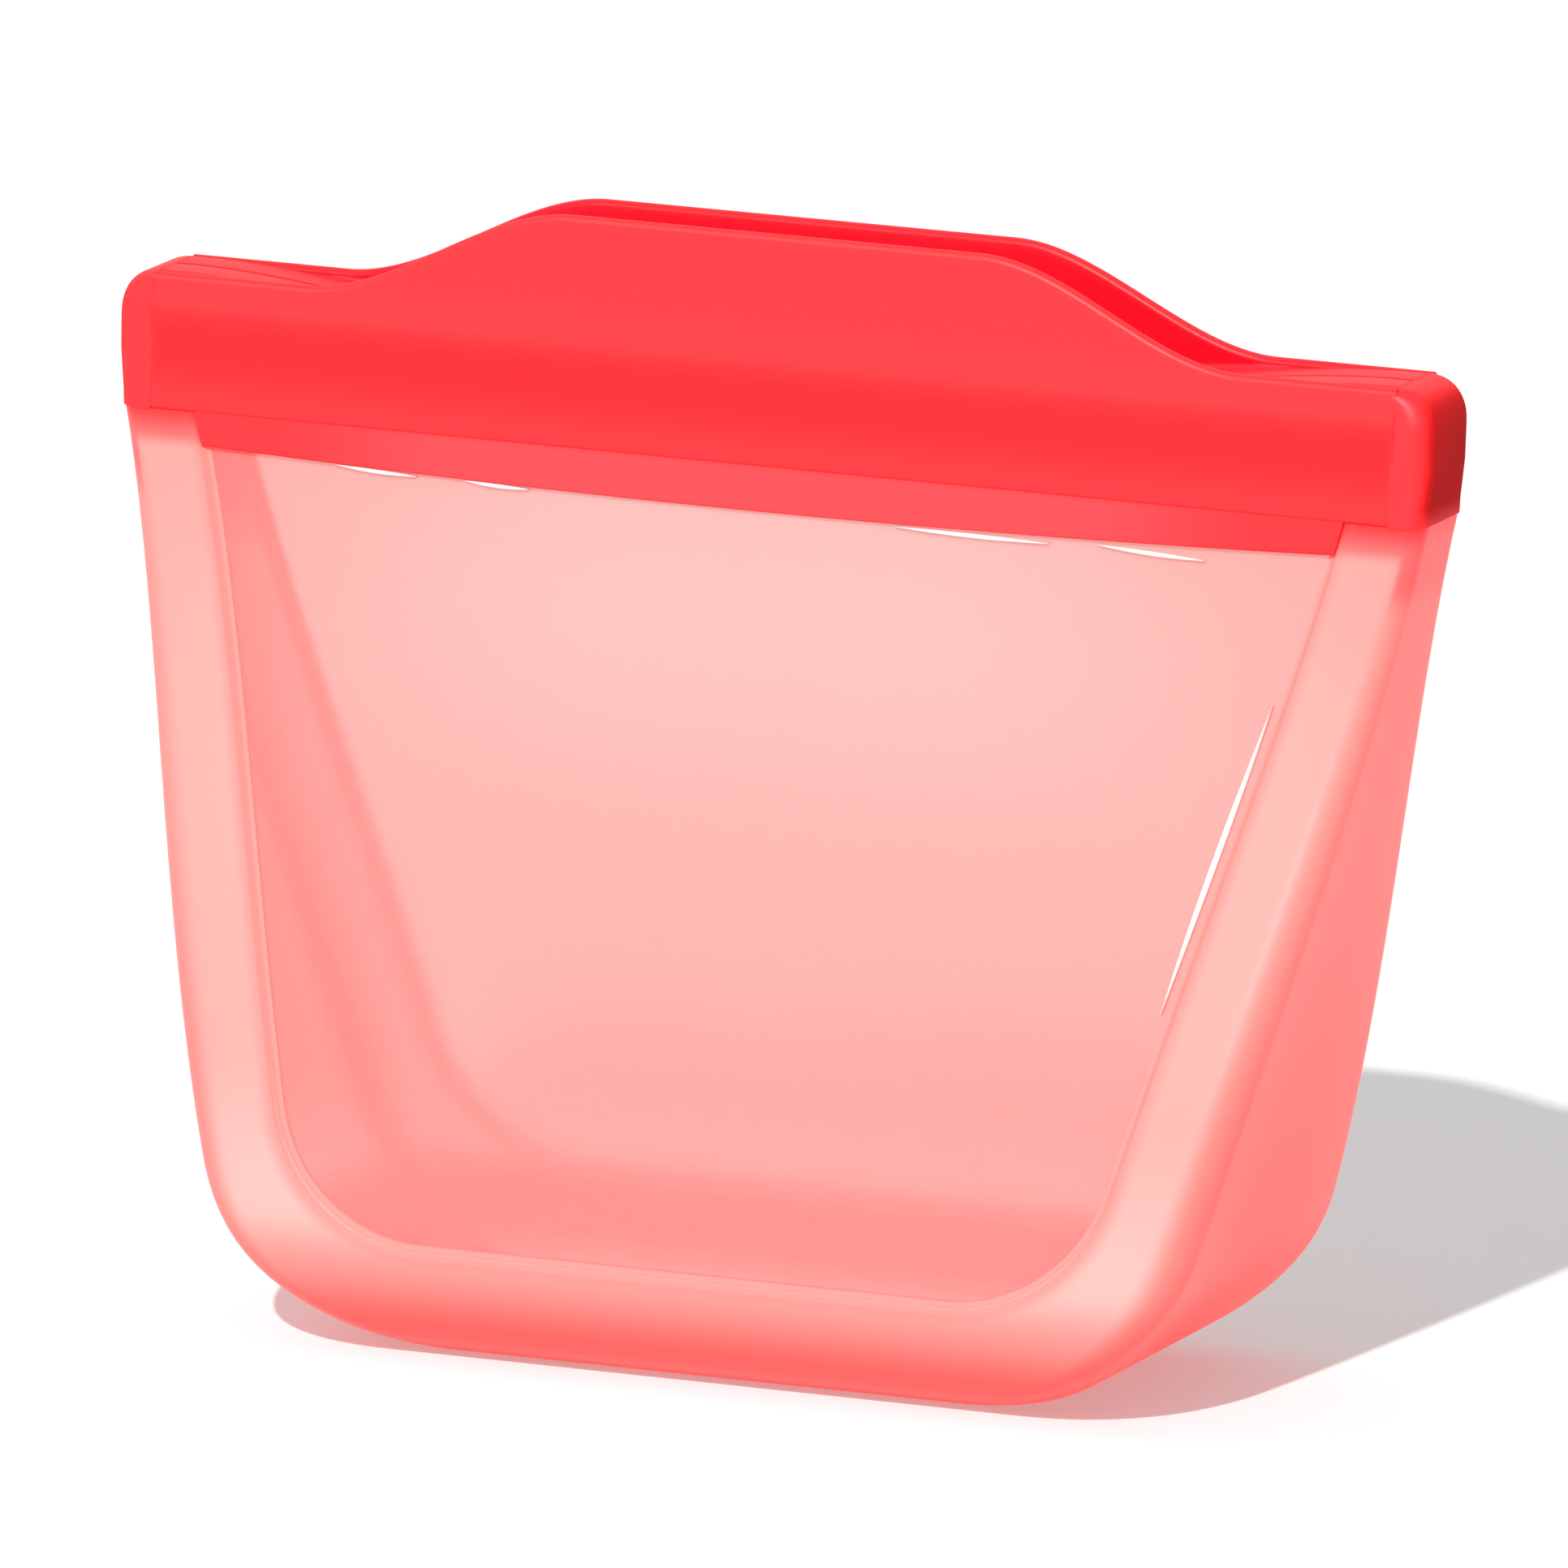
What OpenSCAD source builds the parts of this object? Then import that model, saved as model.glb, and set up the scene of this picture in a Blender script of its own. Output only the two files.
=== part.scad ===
// Stand-up kitchen bag in silicone: a clear moulded pouch under a press closure.
// Millimetres. +X is the width, +Y the back, +Z up. The origin is the middle of the base.

/* [Pouch] */
// Height of the pouch's top edge, where the closure begins
collar_h = 130; // [120:1:140]
// Width at the top edge
top_w = 198.4; // [196:0.4:199.2]
// Width that the tapered sides would reach at the base
base_w = 132.4; // [124:0.4:140]
// Curve of the side taper: below 1 the sides draw in faster near the base
taper_curve = 0.78; // [0.7:0.02:1]
// Depth at the top edge
top_d = 18; // [17.8:0.1:18.4]
// Depth that the front and back would reach at the base
belly_d = 72; // [60:1:80]
// Curve of the front and back faces, from the belly in to the collar
belly_curve = 1.85; // [1.6:0.05:2.1]
// Radius of the two lower corners, seen from the front
corner_r = 26; // [22:1:32]
// Radius from the front and back faces into the base, seen from the side
base_r = 18.4; // [14:0.4:22]
// Radius of the upright edges at the base, seen from above
edge_r_low = 7; // [6:0.5:9]
// Radius of the upright edges at the collar, seen from above
edge_r_top = 3.5; // [3:0.5:4]
// Thickness of the frame, the gussets and the base
wall = 2.4; // [2:0.1:2.8]

/* [Thin panels] */
// How far the front and back panels are stepped in from the frame
panel_step = 1.2; // [0.8:0.1:1.2]
// Width of a panel at the closure
panel_top_w = 175; // [170:1:176]
// Width of a panel where its lower corners begin
panel_low_w = 128.8; // [120:0.4:134]
// Height of a panel's lower edge
panel_bottom = 16.7; // [14:0.1:22]
// Radius of a panel's lower corners
panel_corner_r = 24.5; // [20:0.5:28]

/* [Closure] */
// Width over the two end caps
closure_w = 200; // [199.6:0.2:204]
// Length of an end cap along the closure
cap_l = 5.8; // [5:0.2:7]
// Height of the closure's top edge beside the tabs
closure_top = 149.7; // [148:0.1:152]
// Half thickness of the closure at its fullest
closure_half = 9.3; // [9.2:0.1:9.6]
// Rise of the pull tabs above the closure
tab_rise = 13.7; // [8:0.1:18]
// Width of a tab's straight top edge
tab_flat_w = 62; // [40:1:80]
// Width of a tab at its foot
tab_foot_w = 142; // [110:1:160]
// Thickness of a tab's blade
tab_t = 2; // [1.6:0.1:2.4]
// How far a strip's skirt laps down over the panel
skirt_h = 4.8; // [3:0.1:8]
// Running gap between a strip and whatever it opens away from
run_gap = 0.3; // [0.25:0.05:0.4]

/* [Zip] */
// Height of the zip's rib above the pouch's top edge
zip_up = 9; // [8.6:0.1:9.4]
// Thickness of the rib
rib_t = 2.8; // [2:0.1:3.2]
// How far the rib's tip passes the closure's middle
rib_reach = 2.4; // [1.6:0.1:2.6]

/* [Hidden] */
clear_red = [0.98, 0.62, 0.60];
solid_red = [0.93, 0.13, 0.16];

strip_z = collar_h + run_gap;          // underside of both strips
strip_half_w = closure_w/2 - cap_l - run_gap;
back_y = closure_half - 3.1;           // inner face of a strip's backing wall
lip_y = 0.2;                           // where the two strips' lips stop short of each other
lip_t = 1.4;
jaw_t = 2;                             // thickness of each jaw of the groove
zip_z = collar_h + zip_up;
face_z = closure_top - 5.2;            // crease where a strip's face turns in to its tab
tab_root_z = closure_top + 0.8;
tab_top_z = closure_top + tab_rise;
cap_top = closure_top + 0.9;
cap_half = closure_half - 0.1;
cap_corner_r = 5;
cap_edge_r = 3.2;
plug_depth = 13;                       // wedge of each cap that fills the pouch's corner
plug_in = 90.5;
joint_gap = 0.15;                      // bond line between a cap's plug and the pouch

ring_steps = 8;                        // segments in each upright edge's arc
bend_steps = 9;                        // rings up the base's bend
side_steps = 14;                       // rings from there to the top edge
over = 1;                              // how far cutting shapes run past a surface

// How far a bend of radius r, standing on the base, still pulls a wall in at height z
function bend_in(z, r) = z >= r ? 0 : r - sqrt(max(0, r*r - (r - z)*(r - z)));

// Share of the collar's height, held at 1 above it
function rise(z) = min(z, collar_h)/collar_h;

// Half width and half depth of the tapering pouch at height z, before its bends
function half_w(z) = base_w/2 + (top_w - base_w)/2*pow(rise(z), taper_curve);
function half_d(z) = top_d/2
    + (belly_d - top_d)/2*pow(1 - pow(rise(z), belly_curve), belly_curve);
function edge_r(z) = edge_r_low + (edge_r_top - edge_r_low)*rise(z);

// One level outline of the pouch, moved in by t from its outer skin
function ring(z, t) =
    let (a = half_w(z) - bend_in(z - t, corner_r - t) - t,
         b = half_d(z) - bend_in(z - t, base_r - t) - t,
         r = max(0.6, edge_r(z) - t))
    [for (q = [0:3], i = [0:ring_steps])
        let (turn = 90*q + 90*i/ring_steps,
             sx = (q == 0 || q == 3) ? 1 : -1,
             sy = q < 2 ? 1 : -1)
        [sx*(a - r) + r*cos(turn), sy*(b - r) + r*sin(turn), z]];

// Heights of the rings of a skin moved in by t
function levels(t) = concat(
    [for (i = [0:bend_steps]) t + (corner_r - t)*(1 - cos(90*i/bend_steps))],
    [for (i = [1:side_steps]) corner_r + (collar_h - corner_r)*i/side_steps]);

// Solid inside a skin moved in by t. extra carries its top straight up
module skin(t, extra = 0) {
    n = 4*(ring_steps + 1);
    body_rings = [for (z = levels(t)) ring(z, t)];
    lift = [0, 0, extra];
    rings = extra > 0
        ? concat(body_rings, [[for (p = ring(collar_h, t)) p + lift]])
        : body_rings;
    m = len(rings);
    points = [for (r = rings, p = r) p];
    sides = [for (k = [0:m - 2], i = [0:n - 1])
        let (j = (i + 1)%n)
        each [[k*n + i, k*n + j, (k + 1)*n + j], [k*n + i, (k + 1)*n + j, (k + 1)*n + i]]];
    floor_face = [[for (i = [0:n - 1]) i]];
    top_face = [[for (i = [n - 1:-1:0]) (m - 1)*n + i]];
    polyhedron(points, [for (f = concat(floor_face, sides, top_face)) [for (i = [len(f) - 1:-1:0]) f[i]]]);
}

// Outline of a thin panel, seen from the front. x and y stand for X and Z
module panel_outline() {
    low_x = panel_low_w/2 - panel_corner_r;
    low_z = panel_bottom + panel_corner_r;
    hull() {
        for (s = [-1, 1]) translate([s*low_x, low_z]) circle(panel_corner_r, $fn = 48);
        translate([-panel_top_w/2, collar_h]) square([panel_top_w, over]);
    }
}

// What is cut away over one panel. s is -1 at the front and 1 at the back
module panel_cut(s) {
    difference() {
        rotate([90, 0, 0]) translate([0, 0, s > 0 ? -belly_d : 0])
            linear_extrude(belly_d) panel_outline();
        skin(panel_step, over);
    }
}

module pouch() {
    color(clear_red, 0.6)
    difference() {
        skin(0);
        skin(wall, over);
        panel_cut(-1);
        panel_cut(1);
    }
}

// Top edge of a strip at x: level, with a smooth rise to the tab
function tab_share(x) = min(1, max(0, (tab_foot_w/2 - abs(x))/((tab_foot_w - tab_flat_w)/2)));
function strip_top(x) = let (t = tab_share(x)) closure_top + tab_rise*t*t*(3 - 2*t);

// A strip seen from the front, with its skirt. x and y stand for X and Z
module strip_outline() {
    steps = 30;
    top_edge = [for (i = [0:steps])
        let (x = tab_flat_w/2 + (tab_foot_w - tab_flat_w)/2*i/steps) [x, strip_top(x)]];
    half = concat(top_edge, [[strip_half_w, closure_top], [strip_half_w, strip_z]]);
    polygon(concat(half, [for (i = [len(half) - 1:-1:0]) [-half[i].x, half[i].y]]));
}

// Skirt, seen from the front: it fills the top of the panel's step with a gap at its ends
module skirt_outline() {
    grow = (panel_top_w - panel_low_w)/(2*(collar_h - panel_bottom - panel_corner_r));
    top_x = panel_top_w/2 - run_gap;
    low_x = top_x - grow*skirt_h;
    polygon([[-low_x, collar_h - skirt_h], [low_x, collar_h - skirt_h],
             [top_x, strip_z + over], [-top_x, strip_z + over]]);
}

// Stands a drawing of X and Z up, from y0 to y1
module from_front(y0, y1) {
    translate([0, y1, 0]) rotate([90, 0, 0]) linear_extrude(y1 - y0) children();
}

// Runs a drawing of Y and Z along X, over the whole strip
module along(half_len) {
    translate([-half_len, 0, 0]) rotate([90, 0, 90]) linear_extrude(2*half_len) children();
}

// Section of the backing wall, the tab's blade and the two lips. x is Y outwards, y is Z
module strip_section() {
    face = closure_half;
    polygon([
        [lip_y, strip_z + lip_t + 0.3], [lip_y, strip_z + 0.3], [back_y - 1, strip_z],
        [face - 0.3, strip_z], [face, zip_z - 2], [face - 0.1, face_z],
        [face - 1.4, tab_root_z], [face - 1.7, tab_root_z + 4.5], [face - 1.1, tab_top_z],
        [face - 1.1 - tab_t, tab_top_z], [face - 1.7 - tab_t, tab_root_z + 4.5],
        [face - 1.4 - tab_t, tab_root_z], [back_y, face_z + 2.2],
        [lip_y, face_z + 1.9], [lip_y, face_z + 1.9 - lip_t], [back_y, face_z - 0.2],
        [back_y, strip_z + lip_t + 0.9]]);
}

// Jaws either side of the slot that the rib presses into
module groove_section() {
    slot = rib_t + 2*run_gap;
    slot_end = rib_reach + run_gap + 0.1;
    difference() {
        translate([lip_y, zip_z - slot/2 - jaw_t]) square([back_y + 0.2 - lip_y, slot + 2*jaw_t]);
        translate([lip_y - over, zip_z - slot/2]) square([slot_end - lip_y + over, slot]);
    }
}

// Rib with a round tip, drawn outwards from the front strip's own side
module rib_section() {
    translate([-rib_reach + rib_t/2, zip_z - rib_t/2]) square([back_y + rib_reach - rib_t/2 + 0.2, rib_t]);
    translate([-rib_reach + rib_t/2, zip_z]) circle(rib_t/2, $fn = 24);
}

// One closure strip, drawn as the back one. Its child is its half of the zip
module strip() {
    intersection() {
        along(strip_half_w) union() {
            strip_section();
            children();
        }
        from_front(-closure_half, 2*closure_half) strip_outline();
    }
    panel_y = half_d(collar_h - skirt_h) - panel_step + run_gap;
    from_front(panel_y, closure_half - 0.2) skirt_outline();
}

module front_closure_strip() {
    color(solid_red) mirror([0, 1, 0]) strip() rib_section();
}

module back_closure_strip() {
    color(solid_red) strip() groove_section();
}

// Points of an arc about [x, y], from angle a0 to a1
function arc(x, y, r, a0, a1, n = 8) =
    [for (i = [0:n]) let (a = a0 + (a1 - a0)*i/n) [x + r*cos(a), y + r*sin(a)]];

// Cap seen from the front, round at its outer top corner. x and y stand for X and Z
module cap_front() {
    out = closure_w/2;
    polygon(concat(
        [[out - cap_l, collar_h], [out - 1.2, collar_h], [out, collar_h + 5]],
        arc(out - cap_corner_r, cap_top - cap_corner_r, cap_corner_r, 0, 90),
        [[out - cap_l, cap_top]]));
}

// Cap seen from above, round at its two outer upright edges
module cap_plan() {
    out = closure_w/2;
    polygon(concat(
        [[out - cap_l, -cap_half]],
        arc(out - cap_edge_r, -cap_half + cap_edge_r, cap_edge_r, -90, 0),
        arc(out - cap_edge_r, cap_half - cap_edge_r, cap_edge_r, 0, 90),
        [[out - cap_l, cap_half]]));
}

// Cap seen from its end, with its two top edges rounded. x and y stand for Y and Z
module cap_end() {
    polygon(concat(
        [[-cap_half, collar_h], [cap_half, collar_h]],
        arc(cap_half - cap_edge_r, cap_top - cap_edge_r, cap_edge_r, 0, 90),
        arc(-cap_half + cap_edge_r, cap_top - cap_edge_r, cap_edge_r, 90, 180)));
}

// Wedge under the cap that fills the corner of the mouth. x and y stand for X and Z
module plug_front() {
    low = collar_h - plug_depth;
    polygon([[plug_in, collar_h], [plug_in, collar_h - 6],
             [half_w(low) - wall - joint_gap - 1.2, low],
             [half_w(low) - wall - joint_gap, low],
             [half_w(collar_h - 6) - wall - joint_gap, collar_h - 6],
             [half_w(collar_h) - wall - joint_gap, collar_h]]);
}

// The right cap. The left one is its mirror image
module cap() {
    intersection() {
        from_front(-cap_half - over, cap_half + over) cap_front();
        translate([0, 0, collar_h - over]) linear_extrude(cap_top - collar_h + 2*over) cap_plan();
        along(closure_w) cap_end();
    }
    plug_half = top_d/2 - wall - joint_gap;
    from_front(-plug_half, plug_half) plug_front();
}

module left_end_cap() {
    color(solid_red) mirror([1, 0, 0]) cap();
}

module right_end_cap() {
    color(solid_red) cap();
}

pouch();
front_closure_strip();
back_closure_strip();
left_end_cap();
right_end_cap();
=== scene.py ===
"""A stand-up kitchen bag in silicone: a clear tinted pouch under an opaque press closure."""
import math

import bpy
import numpy as np
from mathutils import Matrix, Vector


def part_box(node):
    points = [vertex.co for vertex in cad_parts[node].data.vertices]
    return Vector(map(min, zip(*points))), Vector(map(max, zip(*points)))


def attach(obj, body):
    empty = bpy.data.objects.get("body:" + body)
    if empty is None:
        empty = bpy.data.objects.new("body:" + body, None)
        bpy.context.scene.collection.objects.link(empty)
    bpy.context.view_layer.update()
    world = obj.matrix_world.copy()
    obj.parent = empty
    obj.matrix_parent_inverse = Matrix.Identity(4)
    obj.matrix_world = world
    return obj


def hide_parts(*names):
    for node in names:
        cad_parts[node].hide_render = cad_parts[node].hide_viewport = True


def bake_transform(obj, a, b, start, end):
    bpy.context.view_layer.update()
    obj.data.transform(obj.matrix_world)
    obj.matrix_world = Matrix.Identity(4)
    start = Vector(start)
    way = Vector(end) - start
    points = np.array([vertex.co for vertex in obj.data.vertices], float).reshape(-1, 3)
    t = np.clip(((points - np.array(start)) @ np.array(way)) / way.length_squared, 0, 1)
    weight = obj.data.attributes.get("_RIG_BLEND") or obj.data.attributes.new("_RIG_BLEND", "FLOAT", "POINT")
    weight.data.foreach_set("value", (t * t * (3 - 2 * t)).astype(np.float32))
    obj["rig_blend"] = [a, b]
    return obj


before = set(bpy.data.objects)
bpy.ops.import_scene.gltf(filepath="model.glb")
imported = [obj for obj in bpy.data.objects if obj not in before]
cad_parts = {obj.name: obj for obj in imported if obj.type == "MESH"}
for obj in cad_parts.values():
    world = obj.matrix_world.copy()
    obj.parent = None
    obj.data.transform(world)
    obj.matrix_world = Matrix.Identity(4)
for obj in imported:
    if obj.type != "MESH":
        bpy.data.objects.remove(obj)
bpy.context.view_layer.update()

MM = 0.001

# ---- Sizes, in millimetres, as the CAD part has them ----
pouch_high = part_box("pouch")[1]
strip_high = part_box("back_closure_strip")[1]
cap_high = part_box("right_end_cap")[1]

COLLAR_H = pouch_high.z / MM            # top edge of the pouch
TOP_W = 2 * pouch_high.x / MM
BASE_W = 132.4                          # where the tapered sides would meet the base
TAPER_CURVE = 0.78
TOP_D = 18.0
BELLY_D = 72.0                          # where the front and back would meet the base
BELLY_CURVE = 1.85
CORNER_R = 26.0                         # lower corners, seen from the front
BASE_R = 18.4                           # front and back into the base, seen from the side
EDGE_R_LOW, EDGE_R_TOP = 7.0, 3.5       # upright edges, seen from above
WALL = 2.4
PANEL_STEP = 1.2                        # how far a thin panel lies back from its frame
PANEL_TOP_W = 175.0
PANEL_LOW_W = 128.8
PANEL_BOTTOM = 16.7
PANEL_CORNER_R = 24.5

CLOSURE_W = 2 * cap_high.x / MM
CAP_L = 5.8
CLOSURE_TOP = 149.7                     # top edge of the closure beside the tabs
CLOSURE_HALF = strip_high.y / MM        # half its thickness at its fullest
TAB_TOP = strip_high.z / MM
TAB_FLAT_W = 62.0
TAB_FOOT_W = 142.0
TAB_T = 2.0                             # thickness of a tab's blade
SKIRT_H = 4.8                           # how far a strip laps down over the panel
RUN_GAP = 0.3
STRIP_Z = COLLAR_H + 0.03               # underside of a strip
SEAM_X = CLOSURE_W / 2 - CAP_L          # where a cap meets the strips


# ---- Meshes ----

def smooth_share(t):
    """0 to 1 with soft ends, for t from 0 to 1."""
    t = np.clip(t, 0.0, 1.0)
    return t * t * (3 - 2 * t)


def new_piece(name, points, faces):
    """A smooth mesh object from points in millimetres, creased where it turns sharply."""
    mesh = bpy.data.meshes.new(name)
    mesh.from_pydata((np.asarray(points, float) * MM).tolist(), [], [list(f) for f in faces])
    mesh.validate()
    mesh.polygons.foreach_set("use_smooth", [True] * len(mesh.polygons))
    mesh.set_sharp_from_angle(angle=math.radians(42))
    piece = bpy.data.objects.new(name, mesh)
    bpy.context.scene.collection.objects.link(piece)
    return piece


def grid_faces(rows, cols, start=0, flip=False, wrap=False):
    """Quads over a grid of points stored row by row, from index start."""
    faces = []
    for r in range(rows - 1):
        for c in range(cols if wrap else cols - 1):
            d = (c + 1) % cols
            quad = [r * cols + c, r * cols + d, (r + 1) * cols + d, (r + 1) * cols + c]
            quad = [start + q for q in quad]
            faces.append(quad[::-1] if flip else quad)
    return faces


# ---- The pouch's skin, as a rule ----

def bend_in(z, r):
    """How far a bend of radius r, standing on the base, still pulls a wall in at height z."""
    z = np.clip(z, 0.0, r)
    return r - np.sqrt(np.maximum(r * r - (r - z) ** 2, 0.0))


def rise(z):
    return np.clip(z, 0.0, COLLAR_H) / COLLAR_H


def half_w(z):
    return BASE_W / 2 + (TOP_W - BASE_W) / 2 * rise(z) ** TAPER_CURVE


def half_d(z):
    return TOP_D / 2 + (BELLY_D - TOP_D) / 2 * (1 - rise(z) ** BELLY_CURVE) ** BELLY_CURVE


def edge_r(z):
    return EDGE_R_LOW + (EDGE_R_TOP - EDGE_R_LOW) * rise(z)


def face_depth(z, t):
    """Distance of the front face from the middle at height z, on the skin moved in by t."""
    return half_d(z) - bend_in(z - t, BASE_R - t) - t


def beyond_skin(p, t):
    """Above 0 outside the pouch's skin moved in by t, below 0 inside. p is an array of points."""
    x, y, z = np.abs(p[..., 0]), np.abs(p[..., 1]), p[..., 2]
    r = np.maximum(0.6, edge_r(z) - t)
    qx = x - (half_w(z) - bend_in(z - t, CORNER_R - t) - t - r)
    qy = y - (face_depth(z, t) - r)
    level = np.hypot(np.maximum(qx, 0), np.maximum(qy, 0)) + np.minimum(np.maximum(qx, qy), 0) - r
    return np.maximum(level, t - z)


def cast_out(origin, direction, t):
    """Where rays from inside the pouch meet its skin moved in by t."""
    near, far = np.zeros(origin.shape[:-1]), np.full(origin.shape[:-1], 150.0)
    for _ in range(40):
        mid = (near + far) / 2
        out = beyond_skin(origin + direction * mid[..., None], t) > 0
        near, far = np.where(out, near, mid), np.where(out, mid, far)
    return origin + direction * near[..., None]


# ---- The thin panel's outline ----

PANEL_SIDE_STEPS, PANEL_CORNER_STEPS, PANEL_BASE_STEPS = 58, 22, 40


def panel_outline():
    """The panel's edge from the left end of the collar, round the bottom, to the right end.
    Gives X, Z and the direction, as an angle in XZ, that leads out across the frame."""
    cx, cz = PANEL_LOW_W / 2 - PANEL_CORNER_R, PANEL_BOTTOM + PANEL_CORNER_R
    top = np.array([PANEL_TOP_W / 2, COLLAR_H])
    d = top - (cx, cz)
    turn = math.atan2(d[1], d[0]) - math.acos(PANEL_CORNER_R / np.hypot(*d))
    meet = np.array([cx, cz]) + PANEL_CORNER_R * np.array([math.cos(turn), math.sin(turn)])
    rows = []
    for i in range(PANEL_SIDE_STEPS):
        t = i / PANEL_SIDE_STEPS
        p = top + (meet - top) * t
        rows.append((p[0], p[1], turn * smooth_share(t)))
    for i in range(PANEL_CORNER_STEPS):
        a = turn + (-math.pi / 2 - turn) * i / PANEL_CORNER_STEPS
        rows.append((cx + PANEL_CORNER_R * math.cos(a), cz + PANEL_CORNER_R * math.sin(a), a))
    for i in range(PANEL_BASE_STEPS // 2 + 1):
        rows.append((cx * (1 - 2 * i / PANEL_BASE_STEPS), PANEL_BOTTOM, -math.pi / 2))
    right = np.array(rows)
    left = right[:-1].copy()
    left[:, 0] *= -1
    left[:, 2] = math.pi - left[:, 2]
    return np.concatenate([left, right[::-1]])


STEP_SOFT = 0.65                        # half the width of the rounded step round a panel
STEP_OFFSETS = [0.2, 0.4, 0.65, 1.0]    # extra rows beside the step, on both sides of it
FRAME_ROWS = 34


def step_depth(e):
    """How far the outer skin lies back, e millimetres out from the panel's edge."""
    return PANEL_STEP * (1 - smooth_share((e + STEP_SOFT) / (2 * STEP_SOFT)))


def frame_lines(outline, t):
    """For each point of the outline, the line across the frame and round to the middle plane."""
    bends = np.linspace(0, math.pi / 2, 500)
    origin = np.stack([outline[:, 0], 0 * outline[:, 0], outline[:, 1]], 1)
    out = np.stack([np.cos(outline[:, 2]), 0 * outline[:, 2], np.sin(outline[:, 2])], 1)
    fore = np.array([0.0, -1.0, 0.0])
    rays = np.cos(bends)[None, :, None] * fore + np.sin(bends)[None, :, None] * out[:, None, :]
    hits = cast_out(np.repeat(origin[:, None, :], len(bends), 1), rays, t)
    lines = []
    for line in hits:
        d = np.diff(line, axis=0)
        ds = np.linalg.norm(d, axis=1)
        along = np.concatenate([[0], np.cumsum(ds)])
        way = d / np.maximum(ds, 1e-9)[:, None]
        turn = np.arccos(np.clip((way[1:] * way[:-1]).sum(1), -1, 1))
        effort = ds / 1.7 + np.concatenate([[0], turn]) / math.radians(8)
        effort = np.concatenate([[0], np.cumsum(effort)])
        first = STEP_OFFSETS[-1]
        start = np.interp(first, along, effort)
        marks = np.interp(np.linspace(start, effort[-1], FRAME_ROWS), effort, along)
        marks = np.concatenate([[0], STEP_OFFSETS[:-1], marks])
        lines.append((marks, np.stack([np.interp(marks, along, line[:, k]) for k in range(3)], 1)))
    return lines


def coons(left, right, bottom, top, rows, cols):
    """Fills a four-sided patch. left and right run down, bottom and top run to the right."""
    s = np.linspace(0, 1, rows)[:, None, None]
    u = np.linspace(0, 1, cols)[None, :, None]
    sides = left[:, None, :] * (1 - u) + right[:, None, :] * u
    ends = top[None, :, :] * (1 - s) + bottom[None, :, :] * s
    corners = ((1 - s) * ((1 - u) * left[0] + u * right[0])
               + s * ((1 - u) * left[-1] + u * right[-1]))
    return sides + ends - corners


def pouch_half_skin(t):
    """Points of the front half of one skin: the rows across the frame, then the rows just
    inside the panel's edge, then the patch that fills the panel."""
    outline = panel_outline()
    n = len(outline)
    outer_skin = t == 0
    lines = frame_lines(outline, t)
    marks = np.stack([m for m, _ in lines], 1)
    across = np.stack([line for _, line in lines], 1)          # row, column, xyz
    if outer_skin:
        across[..., 1] += step_depth(marks)
    across, marks = across[::-1], marks[::-1]                    # from the middle plane inwards

    edge = outline[:, :2]
    way = np.gradient(edge, axis=0)
    way /= np.linalg.norm(way, axis=1)[:, None]
    inward = np.stack([-way[:, 1], way[:, 0]], 1)
    inward[0], inward[-1] = (1, 0), (-1, 0)
    rows = []
    for e in STEP_OFFSETS:
        xz = edge + inward * e
        y = -face_depth(xz[:, 1], t) + (step_depth(-e) if outer_skin else 0)
        rows.append(np.stack([xz[:, 0], y, xz[:, 1]], 1))
    inner = rows[-1]

    down = PANEL_SIDE_STEPS + PANEL_CORNER_STEPS // 2 + 1
    left, right = inner[:down], inner[::-1][:down]
    bottom = inner[down - 1:n - down + 1]
    top = left[0] + (right[0] - left[0]) * np.linspace(0, 1, len(bottom))[:, None]
    fill = coons(left, right, bottom, top, down, len(bottom))
    fill[..., 1] = -face_depth(fill[..., 2], t) + (PANEL_STEP if outer_skin else 0)
    return across, marks, np.stack(rows), fill


# ---- Marks: shares on a mesh, which its material reads ----

def mark(piece, **shares):
    """Stores shares from 0 to 1 on the mesh's points, for the materials to read."""
    for title, share in shares.items():
        data = piece.data.attributes.new(title, "FLOAT", "POINT").data
        data.foreach_set("value", np.asarray(share, np.float32))


def points_and_normals(piece):
    """A mesh's points, in millimetres, and their normals, as arrays."""
    size = len(piece.data.vertices) * 3
    points, normals = np.zeros(size, np.float32), np.zeros(size, np.float32)
    piece.data.vertices.foreach_get("co", points)
    piece.data.vertex_normals.foreach_get("vector", normals)
    return points.reshape(-1, 3) / MM, normals.reshape(-1, 3)


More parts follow.
